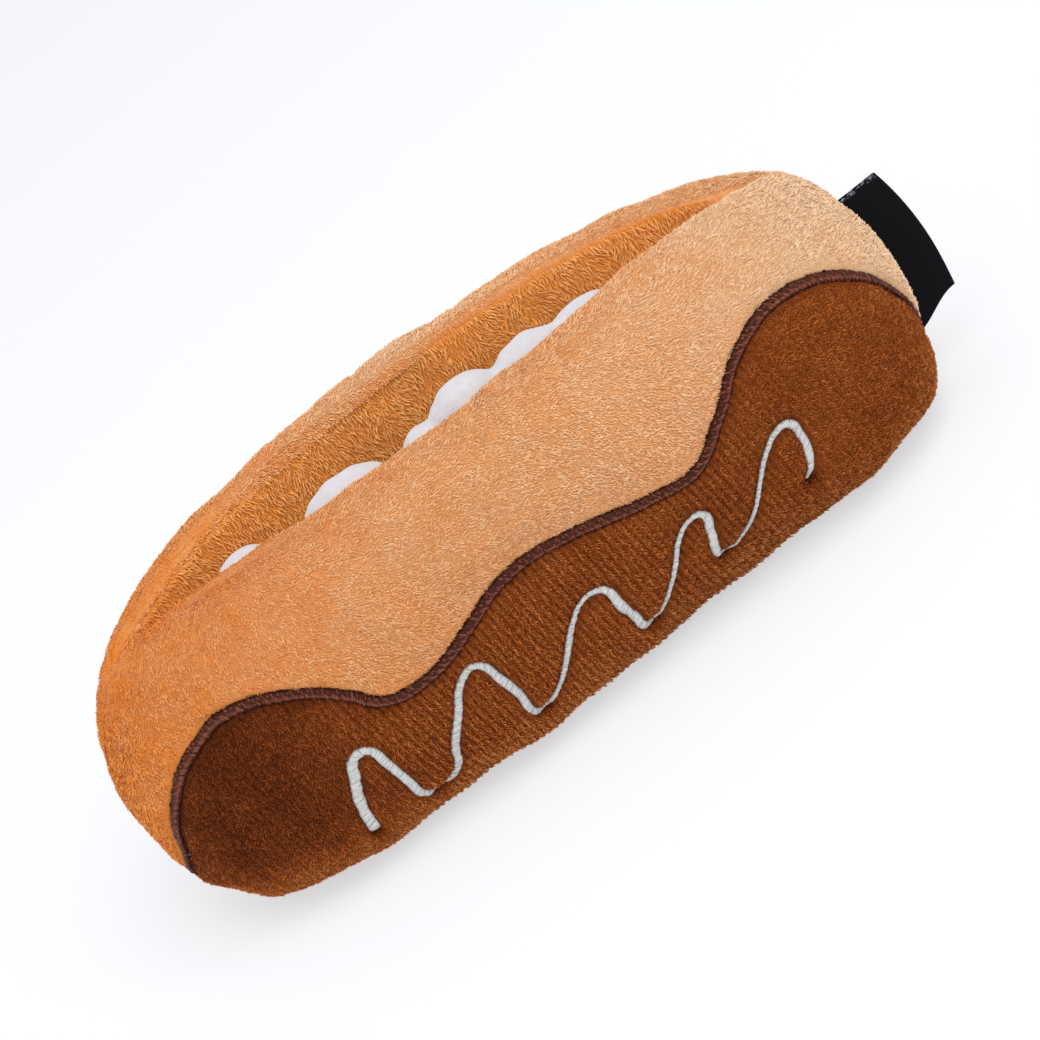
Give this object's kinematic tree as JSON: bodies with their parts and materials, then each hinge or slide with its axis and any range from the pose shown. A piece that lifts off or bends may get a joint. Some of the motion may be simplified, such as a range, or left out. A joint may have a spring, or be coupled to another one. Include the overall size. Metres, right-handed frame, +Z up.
{
  "type": "snuffle dog toy",
  "caption": "Plush pastry pouch with an open mouth, fleece cream inside, wavy icing and stitched drizzle.",
  "frame": {"origin": "centre of the flat base, on the surface that the toy stands on", "axes": "+X along the pouch towards its label end, -Y towards the near side, +Z up through the open mouth"},
  "size_m": [0.2297, 0.0758, 0.082],
  "materials": {
    "tan_plush": "short-pile minky plush, tan",
    "orange_plush": "short-pile minky plush, deeper orange tan",
    "chocolate_plush": "very short-pile plush, chocolate brown",
    "edge_thread": "dark brown satin-stitched thread",
    "drizzle_thread": "silvery off-white satin-stitched thread",
    "white_fleece": "matt white anti-pill fleece",
    "fibre_fill": "polyester fibre filling",
    "squeaker_plastic": "soft blow-moulded polyethylene",
    "crinkle_plastic": "thin crinkled plastic film",
    "woven_label": "black satin-woven label"
  },
  "bodies": {
    "near_half": {"near_bun_panel": "tan_plush", "near_icing_panel": "chocolate_plush", "near_icing_edge": "edge_thread", "near_drizzle": "drizzle_thread", "near_pocket_lining": "orange_plush", "near_wall_filling": "fibre_fill", "squeaker_bulb": "squeaker_plastic", "squeaker_whistle": "squeaker_plastic", "base_panel": "chocolate_plush", "base_wadding": "fibre_fill", "cream_cover": "white_fleece", "cream_filling": "fibre_fill", "woven_label": "woven_label"},
    "far_half": {"far_bun_panel": "tan_plush", "far_icing_panel": "chocolate_plush", "far_icing_edge": "edge_thread", "far_drizzle": "drizzle_thread", "far_pocket_lining": "orange_plush", "far_wall_filling": "fibre_fill", "crinkle_film": "crinkle_plastic"}
  },
  "joints": [
    {"name": "mouth_open", "type": "hinge", "parent": "near_half", "child": "far_half", "pos_m": [0, 0.0265, 0.0027], "axis": [-1, 0, 0], "range_deg": [0, 15], "stiffness_Nm_per_rad": 0.05, "springref_deg": -17.19}
  ]
}
